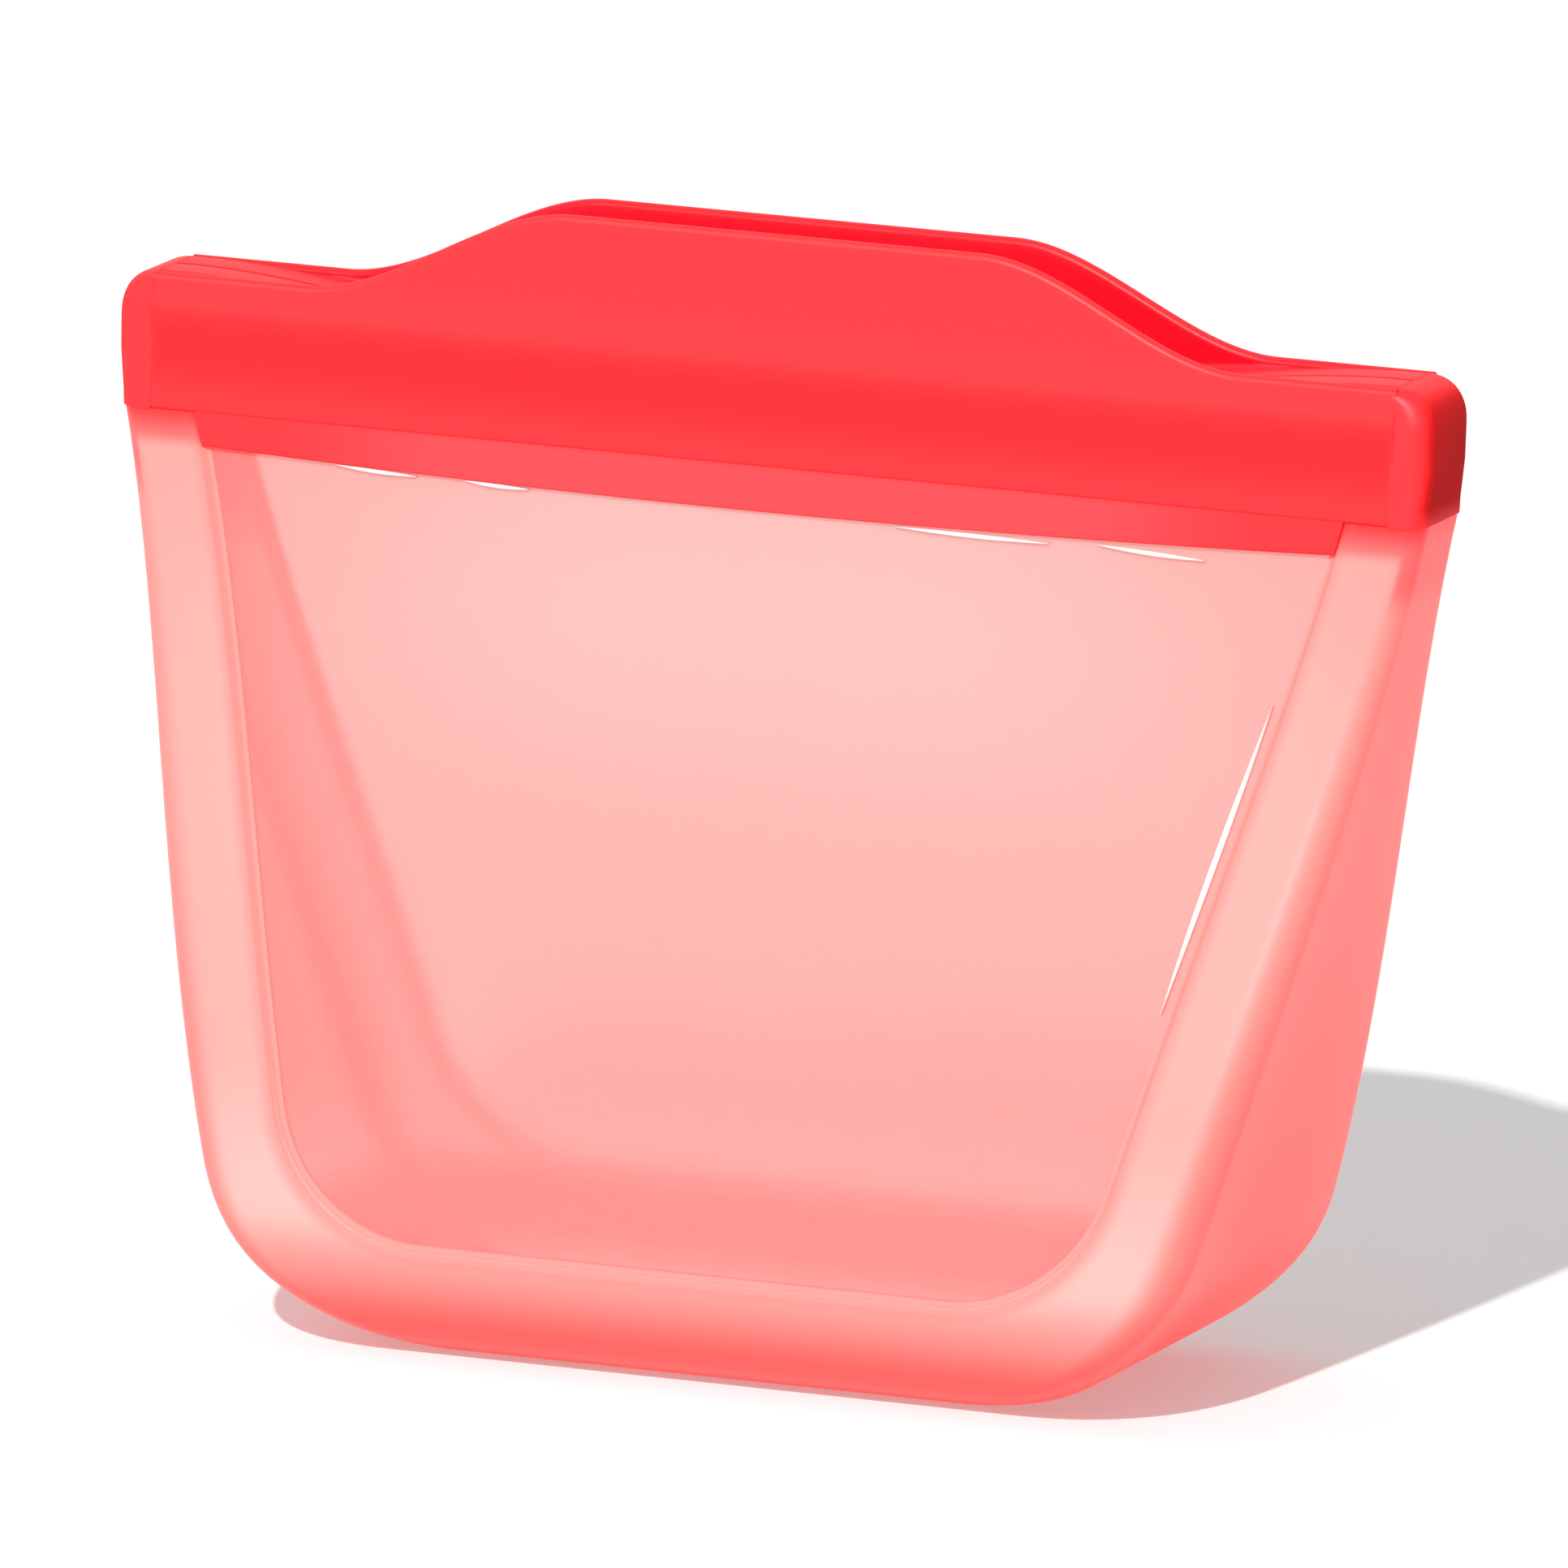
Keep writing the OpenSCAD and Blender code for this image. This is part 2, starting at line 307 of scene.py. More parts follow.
def mark_wall(piece, off_panel, skin_size):
    """Marks where the pouch's tint changes: its middle and a band above the base, painted light;
    the inner skin, painted light; the inside's hollow corners, painted shade; the gussets and the
    foot, deeper partly as painted shade; the soft step round the panel, a little darker as
    painted shade; and the corners the caps plug."""
    spots, way = points_and_normals(piece)
    x, y, z, way = np.abs(spots[:, 0]), np.abs(spots[:, 1]), spots[:, 2], np.abs(way)
    inside = np.arange(len(way)) >= skin_size
    # Round the gussets and the base the tint deepens, partly as painted shade.
    sideways = smooth_share((way[:, 0] - 0.03) / 0.67)
    level = smooth_share((way[:, 2] - 0.3) / 0.57)
    frame_part = smooth_share((off_panel - 2) / 3)
    toward_middle = 0.45 + 0.55 * smooth_share(1.1 * (1 - y / np.maximum(face_depth(z, 0), 1.0)))
    turn = np.maximum(sideways, level) * frame_part * ~inside
    # Painted light: a pool of light over the upper middle, and a band above the base.
    middle = smooth_share((z - 70) / 38) * smooth_share((90 - x) / 70)
    above_base = smooth_share((z - 15) / 7) * smooth_share((46 - z) / 24)
    # Painted shade in the inside's hollow corners, along the gussets and round the base.
    from_side = half_w(z) - bend_in(z - WALL, CORNER_R - WALL) - WALL - x
    from_face = face_depth(z, WALL) - y
    side_hollow = (smooth_share(1.2 * (1 - np.abs(from_face - 4) / 6)) * smooth_share((5 - from_side) / 4)
                   * (1 - 0.35 * smooth_share((z - 30) / 60)))
    base_hollow = smooth_share(1.5 * (1 - np.abs(z - 11) / 9))
    mark(piece, pale_middle=np.maximum(middle, above_base), gusset=turn * toward_middle,
         low_gusset=turn * toward_middle * smooth_share((90 - z) / 70),
         # The inner skin is lighter, as painted light.
         inner_skin=inside * smooth_share((115 - z) / 10),
         hollow_corner=np.maximum(side_hollow, base_hollow) * inside,
         # A little darker at the panel's step, as painted shade.
         panel_step=smooth_share((1.9 - off_panel) / 0.9) * (off_panel > 0),
         # Deeper at the foot, partly as painted shade.
         foot=smooth_share((20 - z) / 20) * ~inside,
         corner_plug=smooth_share((z - 116.5) / 5.5) * smooth_share((turn - 0.45) / 0.5) * ~inside)


def mark_closure(piece):
    """Marks where the solid silicone's colour is painted lighter or darker: the middle of the skirts,
    painted light; the band along the zip, the tabs' inner faces and the solid ends, painted shade.
    The solid ends' mark also makes them duller."""
    spots, way = points_and_normals(piece)
    x, z = np.abs(spots[:, 0]), spots[:, 2]
    facing_in = smooth_share((-way[:, 1] * np.sign(spots[:, 1]) - 0.4) / 0.4)
    # Darker along the zip's band, as painted shade.
    mark(piece, zip_backed=smooth_share((z - 130.5) / 7) * smooth_share((146.5 - z) / 5) * (x < SEAM_X - 0.2),
         # Lighter in the skirts' middle, as painted light.
         thin_skirt=smooth_share((130.2 - z) / 0.6) * smooth_share((78 - x) / 33),
         # Darker on the tabs' inner faces, as painted shade.
         inner_face=facing_in * (z > 141) * (x < SEAM_X),
         # Darker at the solid ends, as painted shade; the mark also makes them duller.
         solid_end=smooth_share((np.abs(way[:, 0]) - 0.55) / 0.4) * (x > SEAM_X))


# ---- The pouch's pieces ----

def pouch_half(name, side, thick, thin_wall):
    """One half of the pouch, from the middle plane round to the front or the back. The two
    halves meet in the middle of the gussets and the base, so each can bow with its own strip."""
    points, faces, thin, off_panel = [], [], [], []
    rims = []
    for t in (0, WALL):
        across, marks, rows, fill = pouch_half_skin(t)
        start = sum(len(p) for p in points)
        band = np.concatenate([across, rows])
        count, n = band.shape[:2]
        faces += grid_faces(count, n, start, flip=t > 0)
        thin += [False] * ((count - 1) * (n - 1))
        points.append(band.reshape(-1, 3))
        down, wide = fill.shape[:2]
        grid = np.full((down, wide), -1)
        last = start + (count - 1) * n
        grid[:, 0] = last + np.arange(down)
        grid[:, -1] = last + n - 1 - np.arange(down)
        grid[-1, :] = last + down - 1 + np.arange(wide)
        free = grid < 0
        grid[free] = start + count * n + np.arange(free.sum())
        points.append(fill[free])
        off_panel += [*marks.ravel(), *np.full(rows.shape[0] * n, 0.1), *np.zeros(free.sum())]
        for r in range(down - 1):
            for c in range(wide - 1):
                quad = [grid[r, c], grid[r + 1, c], grid[r + 1, c + 1], grid[r, c + 1]]
                faces.append([int(q) for q in (quad[::-1] if t > 0 else quad)])
        thin += [True] * ((down - 1) * (wide - 1))
        ends = start + np.arange(count) * n
        rims.append(np.concatenate([ends, grid[0, 1:-1], (ends + n - 1)[::-1]]))
    outer, inner = rims
    for a in range(len(outer) - 1):
        faces.append([int(outer[a]), int(outer[a + 1]), int(inner[a + 1]), int(inner[a])])
    points = np.concatenate(points)
    if side > 0:
        points = points * (1, -1, 1)
        faces = [f[::-1] for f in faces]
    thin += [False] * (len(faces) - len(thin))
    piece = new_piece(name, points, faces)
    piece.data.materials.append(thick)
    piece.data.materials.append(thin_wall)
    piece.data.polygons.foreach_set("material_index", np.array(thin, np.int32))
    mark_wall(piece, np.array(off_panel), len(points) // 2)
    return piece


# Small folds in the thin panel, each from (x, z) to (x, z) with its half width: four where the
# panel leaves the skirt, and one along the panel's right edge. They are painted nearly white,
# as painted glints.
FOLDS = [((-65.7, 124.4), (-53.3, 123.8), 0.27), ((-45.9, 123.9), (-36.0, 123.5), 0.27),
         ((19.7, 123.3), (43.2, 123.0), 0.27), ((50.6, 123.5), (66.7, 122.7), 0.27),
         ((78.9, 103.5), (67.9, 60.0), 0.42)]
FOLD_STEPS, FOLD_ROUND = 25, 12


def fold_points(side):
    """The folds as rounds drawn out along X and Z, slim at both ends."""
    rounds = []
    for start, end, half_width in FOLDS:
        start, end = np.array(start), np.array(end)
        across = np.array([start[1] - end[1], end[0] - start[0]]) / np.linalg.norm(end - start)
        for t in np.linspace(0, 1, FOLD_STEPS):
            r = 0.05 + half_width * math.sin(math.pi * t) ** 0.8
            x, z = start + (end - start) * t - across * r * 0.6
            back, front = face_depth(z, 0) - PANEL_STEP - 0.2, face_depth(z, 0) - 0.4
            for a in np.linspace(0, 2 * math.pi, FOLD_ROUND, endpoint=False):
                deep = math.copysign(abs(math.cos(a)) ** 0.5, math.cos(a))
                rounds.append((x + across[0] * r * math.sin(a),
                               side * ((back + front) / 2 + (front - back) / 2 * deep),
                               z + across[1] * r * math.sin(a)))
    return np.array(rounds).reshape(len(FOLDS), FOLD_STEPS, FOLD_ROUND, 3)


def panel_folds(name, side, polished):
    """The small folds of one panel, as one piece, marked where they fade out at their ends."""
    folds, faces = fold_points(side), []
    for i, fold in enumerate(folds):
        loft = closed_loft(fold, i * FOLD_STEPS * FOLD_ROUND)
        faces += loft if side > 0 else [f[::-1] for f in loft]
    piece = new_piece(name, folds.reshape(-1, 3), faces)
    slim = 1 - np.sin(np.linspace(0, math.pi, FOLD_STEPS))
    mark(piece, fold_end=np.tile(np.repeat(slim, FOLD_ROUND), len(FOLDS)))
    piece.data.materials.append(polished)
    return piece


# ---- The closure ----

def strip_top(x):
    """Height of a strip's top edge at x: level, with a smooth rise to the tab."""
    t = smooth_share((TAB_FOOT_W / 2 - np.abs(x)) / ((TAB_FOOT_W - TAB_FLAT_W) / 2))
    return CLOSURE_TOP + (TAB_TOP - CLOSURE_TOP) * t


def filleted(corners, steps=4):
    """Rounds each corner (y, z, radius) of an open line of corners."""
    out = []
    for i, (y, z, r) in enumerate(corners):
        p = np.array([y, z], float)
        if r == 0 or i in (0, len(corners) - 1):
            out.append(p)
            continue
        a = np.array(corners[i - 1][:2], float) - p
        b = np.array(corners[i + 1][:2], float) - p
        la, lb = np.linalg.norm(a), np.linalg.norm(b)
        a, b = a / la, b / lb
        half = math.acos(np.clip(a @ b, -1, 1)) / 2
        cut = min(r / math.tan(half), 0.49 * la, 0.49 * lb)
        for k in range(steps + 1):
            s = k / steps
            out.append((1 - s) ** 2 * (p + a * cut) + 2 * s * (1 - s) * p + s * s * (p + b * cut))
    return out


FACE_LINE = [(STRIP_Z, 9.35), (131.5, 9.3), (134.0, 9.05), (138.0, 8.9), (142.5, 9.05), (144.6, 9.1),
             (146.5, 8.8), (150.0, 8.4), (156.0, 8.15), (160.0, 8.05), (163.4, 8.1)]
ZIP_Z = COLLAR_H + 9.0
RIB_T, RIB_REACH, JAW_T, LIP_Y = 2.8, 2.4, 2.0, 0.2
BACKING_Y = CLOSURE_HALF - 3.1
LIP_TOP = 146.4
TOP_ROUND = 0.95


def face_y(z):
    """Outer face of a strip: nearly upright, then in to the root of the tab and out again."""
    zs, ys = np.array(FACE_LINE).T
    fine = np.linspace(zs[0], zs[-1], 400)
    y = np.interp(fine, zs, ys)
    kernel = np.ones(25) / 25
    padded = np.pad(y, 12, mode="edge")
    return np.interp(z, fine, np.convolve(padded, kernel, "valid"))


def strip_ring(x, zip_corners):
    """One section of a strip at x, drawn as the back strip. The lips rise near the caps."""
    top = float(strip_top(x))
    lip = LIP_TOP + 3.3 * float(smooth_share((abs(x) - 48) / 44))
    outer_z = np.concatenate([np.linspace(STRIP_Z + 0.6, 144.0, 9)[:-1],
                              np.linspace(144.0, top - TOP_ROUND, 16)])
    outer = [np.array([face_y(z), z]) for z in outer_z]
    low = [np.array([face_y(STRIP_Z) - 0.6 + 0.6 * math.sin(a), STRIP_Z + 0.6 - 0.6 * math.cos(a)])
           for a in np.linspace(0, math.pi / 2, 5)[:-1]]
    yo = float(face_y(top - TOP_ROUND))
    crown = [np.array([yo - TAB_T / 2 + TAB_T / 2 * math.cos(a), top - TOP_ROUND + TOP_ROUND * math.sin(a)])
             for a in np.linspace(0, math.pi, 11)[1:-1]]
    foot = min(lip + 0.9, top - TOP_ROUND - 0.05)
    inner_z = np.linspace(top - TOP_ROUND, foot, 14)
    inner = [np.array([face_y(z) - TAB_T, z]) for z in inner_z]
    corners = [(float(face_y(foot)) - TAB_T, foot, 0), (float(face_y(foot)) - TAB_T - 0.3, lip, 0.8),
               (LIP_Y, lip, 0.6), (LIP_Y, 145.0, 0.5), (BACKING_Y, 144.3, 0.8)]
    corners += zip_corners
    corners += [(BACKING_Y, 132.6, 0.7), (LIP_Y, 132.0, 0.5), (LIP_Y, STRIP_Z + 0.3, 0.5),
                (BACKING_Y - 1, STRIP_Z, 0.5), (face_y(STRIP_Z) - 0.6, STRIP_Z, 0)]
    inside = filleted(corners)
    return np.array(low + outer + crown + inner + inside[1:-1])


def rib_corners():
    """The rib, seen in section from its own strip's side, from the top down."""
    up, down = ZIP_Z + RIB_T / 2, ZIP_Z - RIB_T / 2
    return [(BACKING_Y, up, 0.7), (-RIB_REACH, up, 1.25), (-RIB_REACH, down, 1.25), (BACKING_Y, down, 0.7)]


def groove_corners():
    """Two jaws and the slot between them, from the top down."""
    half = RIB_T / 2 + RUN_GAP
    floor_y = RIB_REACH + RUN_GAP + 0.1
    return [(BACKING_Y, ZIP_Z + half + JAW_T, 0.6), (LIP_Y, ZIP_Z + half + JAW_T, 0.6),
            (LIP_Y, ZIP_Z + half, 0.6), (floor_y, ZIP_Z + half, 0.5),
            (floor_y, ZIP_Z - half, 0.5), (LIP_Y, ZIP_Z - half, 0.6),
            (LIP_Y, ZIP_Z - half - JAW_T, 0.6), (BACKING_Y, ZIP_Z - half - JAW_T, 0.6)]


SKIRT_BOW = 1.7                         # how much deeper the skirt reaches in its middle


def skirt_low(x):
    return COLLAR_H - SKIRT_H - SKIRT_BOW * (1 - (x / (PANEL_TOP_W / 2)) ** 2)


def skirt_ring(x_share):
    """One section of the skirt, at a share of its width from -1 to 1. Its ends are slanted."""
    grow = (PANEL_TOP_W - PANEL_LOW_W) / 2 / (COLLAR_H - PANEL_BOTTOM - PANEL_CORNER_R)
    high, low = STRIP_Z + 1.2, skirt_low(x_share * PANEL_TOP_W / 2)
    inner, outer = face_depth(low, 0) - PANEL_STEP + 0.1, CLOSURE_HALF - 0.22
    line = filleted([(inner, high, 0), (inner, low, 0.12), (outer, low, 0.45), (outer, low + 1.0, 0.3),
                     (outer, high - 1.8, 0.3), (outer, high, 0)], 6)
    ring = []
    for y, z in line:
        reach = PANEL_TOP_W / 2 - 0.05 - grow * (COLLAR_H - z)
        ring.append((x_share * reach, y, z))
    return np.array(ring)


def closed_loft(rings, start):
    """Faces over a stack of closed rings, with a fan on each end."""
    count, n = rings.shape[:2]
    faces = grid_faces(count, n, start, wrap=True)
    faces.append([start + i for i in range(n)][::-1])
    faces.append([start + (count - 1) * n + i for i in range(n)])
    return faces


def closure_strip(name, side, zip_corners):
    """A closure strip, drawn as the back one and mirrored for the front."""
    xs = np.linspace(-SEAM_X - 0.4, SEAM_X + 0.4, 181)
    rings = np.stack([np.column_stack([np.full(len(r), x), r])
                      for x in xs for r in [strip_ring(x, zip_corners)]])
    skirt = np.stack([skirt_ring(s) for s in np.linspace(-1, 1, 91)])
    points = np.concatenate([rings.reshape(-1, 3), skirt.reshape(-1, 3)])
    faces = closed_loft(rings, 0) + closed_loft(skirt, rings.shape[0] * rings.shape[1])
    if side < 0:
        points = points * (1, -1, 1)
        faces = [f[::-1] for f in faces]
    return new_piece(name, points, faces)


CAP_HALF = cap_high.y / MM
CAP_EDGE_R, CAP_CORNER_H = 3.2, 6.6
PLUG_IN, PLUG_DEPTH = 90.5, 13.0


def cap_outline(inset):
    """A cap's outline in XZ, from the foot of its seam over its top to its outer foot, with the
    top and outer edges moved in by inset, less beside the seam, where it meets the strips. It
    swells a little between foot and corner."""
    out, low = CLOSURE_W / 2, COLLAR_H + 0.03
    line = [(SEAM_X, z) for z in (low, 132.0, 136.0, 140.0, 144.0, 147.0)]
    for a in np.linspace(math.pi / 2, 0, 14):
        along, up = math.cos(a) ** 0.85, math.sin(a) ** 0.85
        in_here = inset * (0.3 + 0.7 * along)
        line.append((SEAM_X + (CAP_L - inset) * along,
                     CLOSURE_TOP - CAP_CORNER_H + (CAP_CORNER_H - in_here) * up))
    for z in (141.0, 138.0, 135.0, 132.5, low):
        line.append((out - 0.75 * (1 - smooth_share((z - low) / 9.0)) - inset, z))
    return np.array(line)


def end_cap(name, side):
    """An end cap: the outline, carried from front to back, with its edges rounded."""
    turns = np.linspace(0, math.pi / 2, 8)
    flat = CAP_HALF - CAP_EDGE_R - 0.05
    rings = []
    for sign, order in ((-1, turns[::-1]), (1, turns)):
        for a in order:
            line = cap_outline(CAP_EDGE_R * (1 - math.cos(a)))
            y = sign * (flat + CAP_EDGE_R * math.sin(a)) * (face_y(line[:, 1]) + 0.08) / CAP_HALF
            rings.append(np.column_stack([line[:, 0], y, line[:, 1]]))
    rings = np.stack(rings)
    count, n = rings.shape[:2]
    points = np.concatenate([rings.reshape(-1, 3), plug_points()])
    faces = closed_loft(rings, 0) + closed_loft(np.zeros((5, 14, 3)), count * n)
    if side < 0:
        points = points * (-1, 1, 1)
        faces = [f[::-1] for f in faces]
    return new_piece(name, points, faces)


def plug_points():
    """The wedge under a cap that fills the corner of the mouth, in level rings."""
    depths = [0.0, 3.0, 6.0, 9.5, PLUG_DEPTH]
    inner = [PLUG_IN, PLUG_IN + 0.2, PLUG_IN + 1.2, PLUG_IN + 2.3, 93.1]
    rings = []
    for d, x_in in zip(depths, inner):
        z = COLLAR_H - d
        x_out = half_w(z) - WALL - 0.15
        half = face_depth(z, WALL) - 0.15
        r = min(1.0, 0.4 * (x_out - x_in))
        ring = [(x_in, -half + r), (x_in + r * 0.3, -half + r * 0.3), (x_in + r, -half), (x_out - r, -half),
                (x_out - r * 0.3, -half + r * 0.3), (x_out, -half + r), (x_out, 0)]
        ring += [(x, -y) for x, y in ring[5::-1]] + [(x_in, 0)]
        rings.append([(x, y, z) for x, y in ring])
    return np.array(rings).reshape(-1, 3)


# ---- Materials ----

def rgb(hex_code):
    """A linear colour from an sRGB hex code."""
    parts = [int(hex_code[i:i + 2], 16) / 255 for i in (1, 3, 5)]
    linear = [c / 12.92 if c <= 0.04045 else ((c + 0.055) / 1.055) ** 2.4 for c in parts]
    return (*linear, 1.0)


def blank_material(name):
    made = bpy.data.materials.new(name)
    made.use_nodes = True
    made.node_tree.nodes.clear()
    return made, made.node_tree


def add(tree, kind, inputs, **settings):
    """Adds one node with its settings and inputs. An input is a value, or another node's
    output, which is linked."""
    node = tree.nodes.new(kind)
    for key, value in settings.items():
        setattr(node, key, value)
    for key, value in inputs.items():
        if isinstance(value, bpy.types.NodeSocket):
            tree.links.new(value, node.inputs[key])
        else:
            node.inputs[key].default_value = value
    return node


def tinted(tree, colour, marks):
    """colour, turned towards each tint in turn by the share stored on the mesh under its mark."""
    for title, tint in marks:
        share = add(tree, "ShaderNodeAttribute", {}, attribute_name=title)
        colour = add(tree, "ShaderNodeMix", {0: share.outputs["Fac"], 6: colour, 7: rgb(tint)},
                     data_type="RGBA").outputs[2]
    return colour


def blasted_mould(tree, grain_mm, strength):
    """Bump of the mould's fine blasted texture. The real grain, about 0.05 mm, is too fine to
    show, so it is drawn coarser."""
    place = add(tree, "ShaderNodeTexCoord", {})
    grain = add(tree, "ShaderNodeTexNoise", {"Vector": place.outputs["Object"], "Scale": 1000.0 / grain_mm,
                                             "Detail": 2.0, "Roughness": 0.6})
    return add(tree, "ShaderNodeBump", {"Height": grain.outputs["Fac"], "Strength": strength,
                                        "Distance": 0.0002}).outputs["Normal"]


def bonded_edge(tree, colour, low, high):
    """colour, turned red over the heights where the solid closure is bonded on behind it."""
    place = add(tree, "ShaderNodeTexCoord", {})
    spot = add(tree, "ShaderNodeSeparateXYZ", {"Vector": place.outputs["Object"]})
    for start, full, red in ((low, high, "#FF5A5A"), (0.1258, 0.1302, "#F81E26")):
        share = add(tree, "ShaderNodeMapRange",
                    {"Value": spot.outputs["Z"], "From Min": start, "From Max": full},
                    interpolation_type="SMOOTHSTEP")
        colour = add(tree, "ShaderNodeMix", {0: share.outputs["Result"], 6: colour, 7: rgb(red)},
                     data_type="RGBA").outputs[2]
    return colour


def thick_clear_silicone():
    """Translucent liquid silicone rubber, 2 mm and more thick, moulded with a fine satin skin.
    A faint even glow is painted light: it stands for light that soaks through it. The tints were
    matched: palest on the front and back, with painted light over the middle, above the base and
    on the inner skin; painted shade in the hollow corners; deeper round the gussets and at the
    foot, partly as silicone seen edge-on and partly as painted shade. They stand partly for light
    and shade inside the wall. The panel's step is duller than the rest, and its tint a little
    darker as painted shade, so that it carries no bright line."""
    made, tree = blank_material("thick_clear_silicone")
    # Painted light in the middle and on the inner skin; painted shade in the hollow corners, at the step, and
    # partly round the gussets and the foot.
    body = tinted(tree, rgb("#FF8781"), [("pale_middle", "#FF9993"), ("gusset", "#FF766F"),
                                         ("low_gusset", "#FF5A53"), ("inner_skin", "#FFE4E2"),
                                         ("hollow_corner", "#FF1A14"),
                                         ("panel_step", "#FF7F79"), ("foot", "#FF4743"),
                                         ("corner_plug", "#FF5A5A")])
    step = add(tree, "ShaderNodeAttribute", {}, attribute_name="panel_step")
    dull_step = add(tree, "ShaderNodeMapRange", {"Value": step.outputs["Fac"], "To Min": 0.36, "To Max": 0.8})
    # The faint red glow is painted light, for light that soaks through the wall.
    skin = add(tree, "ShaderNodeBsdfPrincipled",
               {"Base Color": bonded_edge(tree, body, 0.1244, 0.1268),
                "Roughness": dull_step.outputs["Result"], "IOR": 1.41,
                "Emission Color": rgb("#FF403A"), "Emission Strength": 0.25,
                "Transmission Weight": 0.3, "Normal": blasted_mould(tree, 1.1, 0.05)})
    add(tree, "ShaderNodeOutputMaterial", {"Surface": skin.outputs["BSDF"]})
    return made


def thin_clear_silicone():
    """The same liquid silicone rubber moulded thin, with a smoother satin skin: nearly clear,
    so what lies behind shows softly through a pale tint."""
    made, tree = blank_material("thin_clear_silicone")
    # Paler over the middle and above the base, as painted light.
    body = tinted(tree, rgb("#FFCCC8"), [("pale_middle", "#FFD6D2")])
    skin = add(tree, "ShaderNodeBsdfPrincipled",
               {"Base Color": bonded_edge(tree, body, 0.1250, 0.1254), "Roughness": 0.18, "IOR": 1.41,
                "Transmission Weight": 0.88, "Normal": blasted_mould(tree, 1.1, 0.05)})
    add(tree, "ShaderNodeOutputMaterial", {"Surface": skin.outputs["BSDF"]})
    return made


def polished_clear_silicone():
    """Clear silicone with a glossy skin, an assumed finish for the small folds: they look wet. Their
    colour is painted nearly white, as painted glints, and pinker where the folds fade out at
    their ends."""
    made, tree = blank_material("polished_clear_silicone")
    # Nearly white as painted glints, pinker at the folds' ends.
    body = tinted(tree, rgb("#FFEAE8"), [("fold_end", "#FFC8C4")])
    skin = add(tree, "ShaderNodeBsdfPrincipled",
               {"Base Color": body, "Roughness": 0.14, "IOR": 1.41, "Transmission Weight": 0.3})
    add(tree, "ShaderNodeOutputMaterial", {"Surface": skin.outputs["BSDF"]})
    return made


def solid_red_silicone():
    """Opaque pigmented silicone rubber from a lightly blasted mould: an even soft matte. The tints
    were matched: a little lighter in the middle of the skirts, as painted light, and darker as
    painted shade along the zip, on the tabs' inner faces and at the solid ends, which are also
    duller."""
    made, tree = blank_material("solid_red_silicone")
    # Lighter skirt middles are painted light; the zip, tabs' inner faces and solid ends are painted shade.
    body = tinted(tree, rgb("#F42227"), [("zip_backed", "#EE161B"), ("thin_skirt", "#FA3439"),
                                         ("inner_face", "#E40016"), ("solid_end", "#BC0004")])
    end = add(tree, "ShaderNodeAttribute", {}, attribute_name="solid_end")
    dull_end = add(tree, "ShaderNodeMapRange", {"Value": end.outputs["Fac"], "To Min": 0.46, "To Max": 0.95})
    skin = add(tree, "ShaderNodeBsdfPrincipled",
               {"Base Color": body, "Roughness": dull_end.outputs["Result"], "IOR": 1.41,
                "Specular IOR Level": 0.3, "Normal": blasted_mould(tree, 0.8, 0.12)})
    add(tree, "ShaderNodeOutputMaterial", {"Surface": skin.outputs["BSDF"]})
    return made


# ---- Camera, floor and light ----

VIEW_WIDTH = 223.353                    # what the camera spans at the bag
VIEW_CENTRE = Vector((0.948, 12.405))   # its centre, right of and above the bag's aim point
AIM_HEIGHT = 70.0
LENS, SENSOR = 800.0, 36.0


def long_lens_camera():
    """A long lens from the bag's right front, a little above it."""
    azimuth, elevation, roll = math.radians(20.95), math.radians(11.18), math.radians(1.47)
    data = bpy.data.cameras.new("camera")
    data.lens, data.sensor_width = LENS, SENSOR
    data.clip_start, data.clip_end = 0.1, 60.0
    camera = bpy.data.objects.new("camera", data)
    bpy.context.scene.collection.objects.link(camera)
    back = Vector((math.sin(azimuth) * math.cos(elevation),
                   -math.cos(azimuth) * math.cos(elevation), math.sin(elevation)))
    turn = (-back).to_track_quat("-Z", "Y").to_matrix() @ Matrix.Rotation(roll, 3, "Z")
    right, up = turn.col[0], turn.col[1]
    aim = Vector((0, 0, AIM_HEIGHT)) + right * VIEW_CENTRE.x + up * VIEW_CENTRE.y
    camera.rotation_mode = "QUATERNION"
    camera.rotation_quaternion = turn.to_quaternion()
    camera.location = (aim + back * VIEW_WIDTH * LENS / SENSOR) * MM
    bpy.context.scene.camera = camera


def pale_floor():
    """A sheet of sandblasted white acrylic, lit a little from within: an even pale floor without
    reflections, on which shadows stay pale."""
    size = 3.0
    mesh = bpy.data.meshes.new("floor")
    mesh.from_pydata([(-size, -size, 0), (size, -size, 0), (size, size, 0), (-size, size, 0)], [],
                     [(0, 1, 2, 3)])
    floor = bpy.data.objects.new("floor", mesh)
    bpy.context.scene.collection.objects.link(floor)
    made, tree = blank_material("softly_lit_white_acrylic")
    acrylic = add(tree, "ShaderNodeBsdfPrincipled",
                  {"Base Color": rgb("#B5B5B5"), "Roughness": 0.9, "Specular IOR Level": 0.0,
                   "Emission Color": rgb("#FFFFFF"), "Emission Strength": 0.28})
    add(tree, "ShaderNodeOutputMaterial", {"Surface": acrylic.outputs["BSDF"]})
    mesh.materials.append(made)


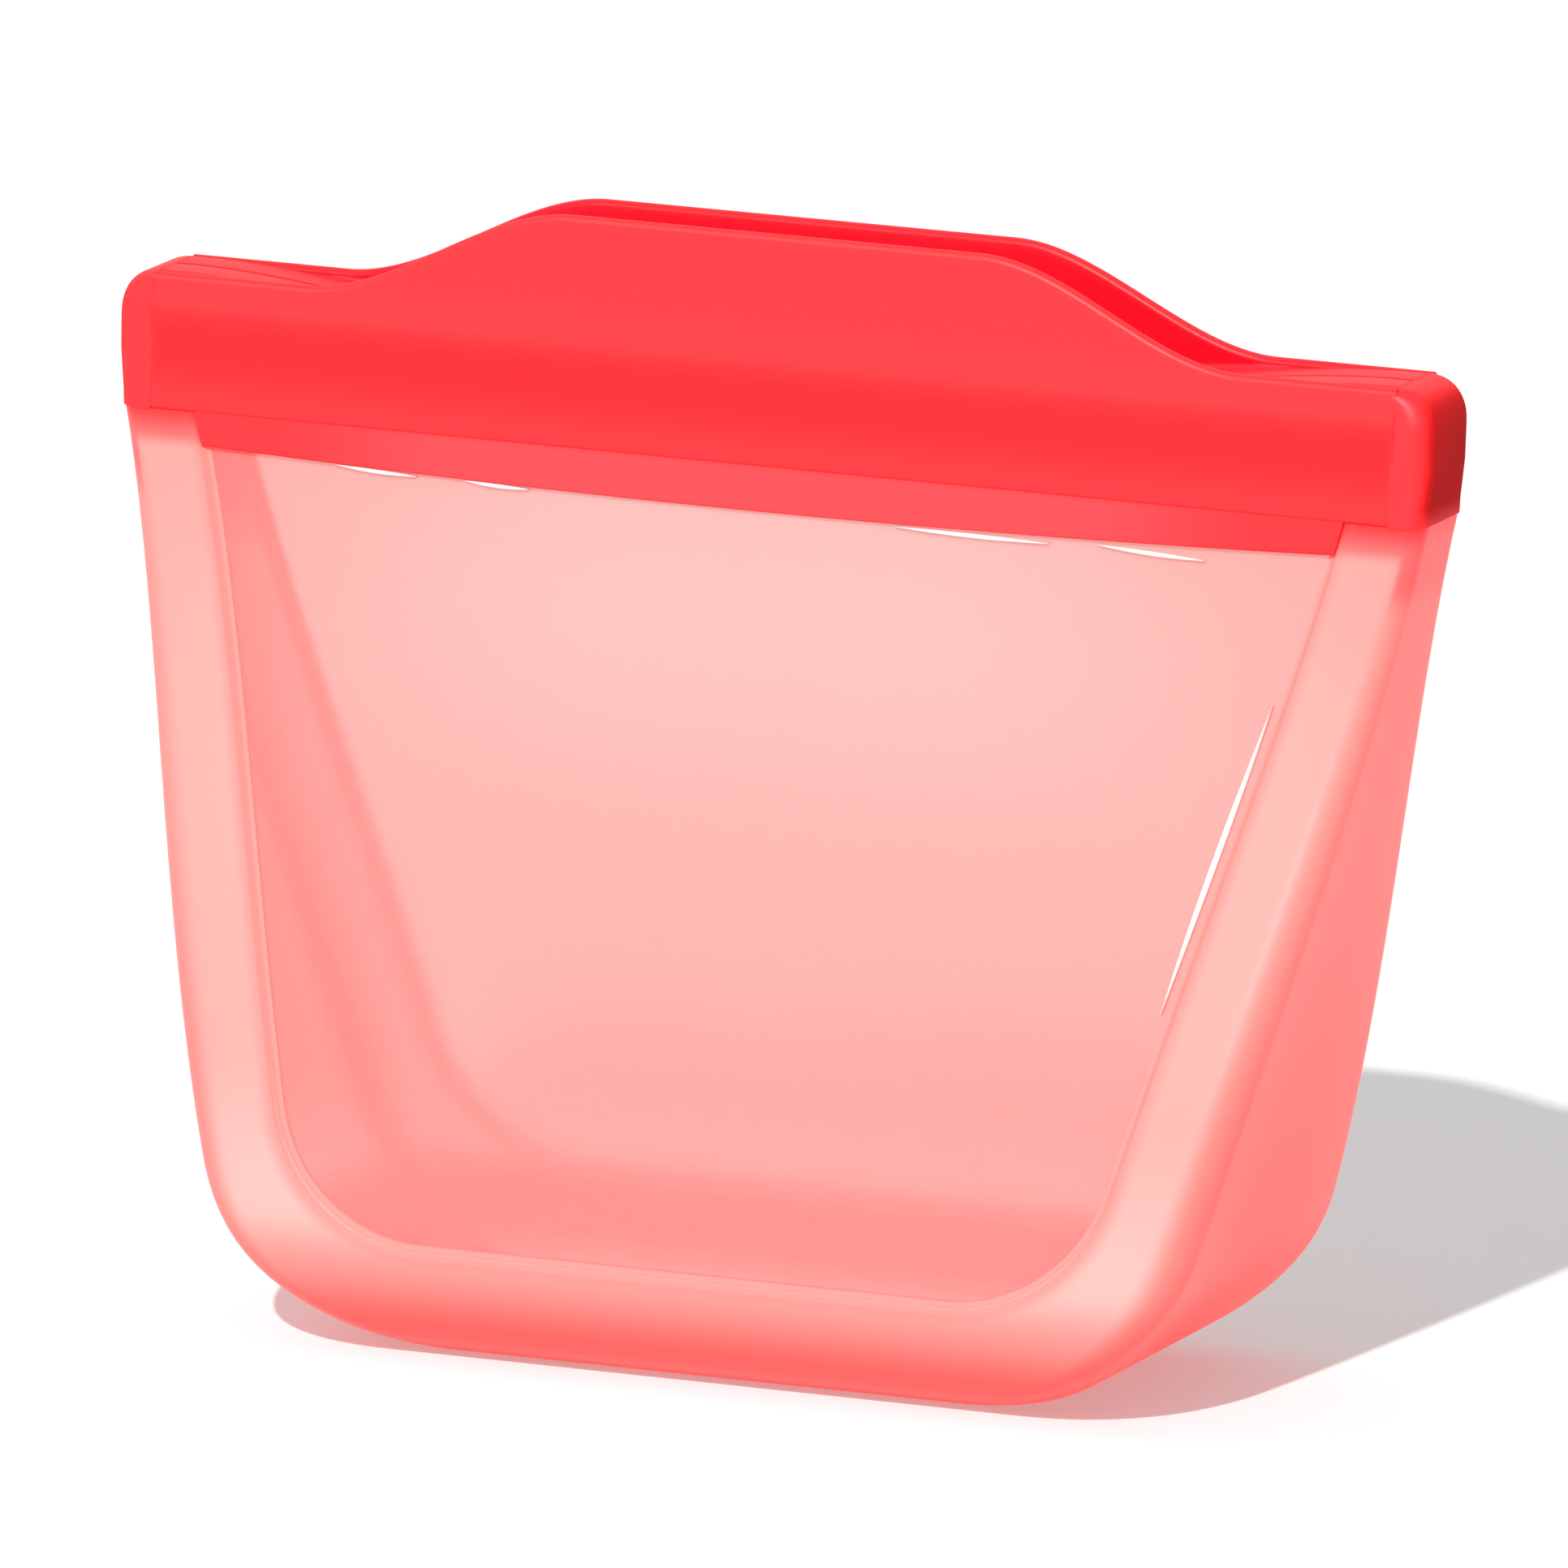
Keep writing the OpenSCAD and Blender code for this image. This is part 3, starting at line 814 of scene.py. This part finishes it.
def studio_light():
    """One strong key from the front and above, in a plain white room that is dimmer at the
    bag's right."""
    scene = bpy.context.scene
    scene.view_settings.view_transform = "Standard"
    world = bpy.data.worlds.new("white_studio")
    scene.world = world
    world.use_nodes = True
    tree = world.node_tree
    tree.nodes.clear()
    place = add(tree, "ShaderNodeTexCoord", {})
    way = add(tree, "ShaderNodeSeparateXYZ", {"Vector": place.outputs["Generated"]})
    glow = add(tree, "ShaderNodeMapRange", {"Value": way.outputs["X"], "From Min": -0.8, "From Max": 0.9,
                                            "To Min": 0.85, "To Max": 0.5}, interpolation_type="SMOOTHSTEP")
    room = add(tree, "ShaderNodeBackground", {"Color": rgb("#FFFFFF"), "Strength": glow.outputs["Result"]})
    add(tree, "ShaderNodeOutputWorld", {"Surface": room.outputs["Background"]})
    data = bpy.data.lights.new("key", "SUN")
    data.energy = 5.8
    data.angle = math.radians(1.2)
    key = bpy.data.objects.new("key", data)
    scene.collection.objects.link(key)
    travel_turn, height = math.radians(-3.75), math.radians(36.3)
    travel = Vector((math.sin(travel_turn) * math.cos(height),
                     math.cos(travel_turn) * math.cos(height), -math.sin(height)))
    key.rotation_mode = "QUATERNION"
    key.rotation_quaternion = travel.to_track_quat("-Z", "Y")


# ---- Putting the bag together ----

def bow(piece, body, spans):
    """piece follows body only as far as every span lets it: each span, from start to end, is a
    blend of its own, and their shares are multiplied."""
    share = np.ones(len(piece.data.vertices), np.float32)
    for start, end in spans:
        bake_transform(piece, "root", body, start=start, end=end)
        part = np.zeros(len(share), np.float32)
        piece.data.attributes["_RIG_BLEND"].data.foreach_get("value", part)
        share *= part
    piece.data.attributes["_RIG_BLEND"].data.foreach_set("value", share)


def main():
    """The pouch in two halves, a strip on each, and the caps that hold the strips' ends."""
    long_lens_camera()
    pale_floor()
    studio_light()
    thick, thin = thick_clear_silicone(), thin_clear_silicone()
    polished, solid = polished_clear_silicone(), solid_red_silicone()
    end_x = SEAM_X * MM
    cap_spans = [((-end_x, 0, 0), (0, 0, 0)), ((end_x, 0, 0), (0, 0, 0))]
    wall_span = ((0, 0, 0.035), (0, 0, COLLAR_H * MM))
    inner_y = (TOP_D / 2 - WALL) * MM
    for half, side in (("front", -1), ("back", 1)):
        body = half + "_closure"
        wall = pouch_half("pouch_" + half, side, thick, thin)
        bow(wall, body, cap_spans + [wall_span, ((0, 0, 0), (0, side * inner_y, 0))])
        # The folds are painted nearly white, as glints.
        folds = panel_folds(half + "_panel_folds", side, polished)
        bow(folds, body, cap_spans + [wall_span])
        for piece in (wall, folds):
            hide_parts("pouch")
        zip_half = rib_corners() if side < 0 else groove_corners()
        strip = closure_strip(half + "_strip", side, zip_half)
        strip.data.materials.append(solid)
        mark_closure(strip)
        bow(strip, body, cap_spans)
        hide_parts(half + "_closure_strip")
    for hand, side in (("left", -1), ("right", 1)):
        cap = end_cap(hand + "_cap", side)
        cap.data.materials.append(solid)
        mark_closure(cap)
        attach(cap, "root")
        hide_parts(hand + "_end_cap")


main()
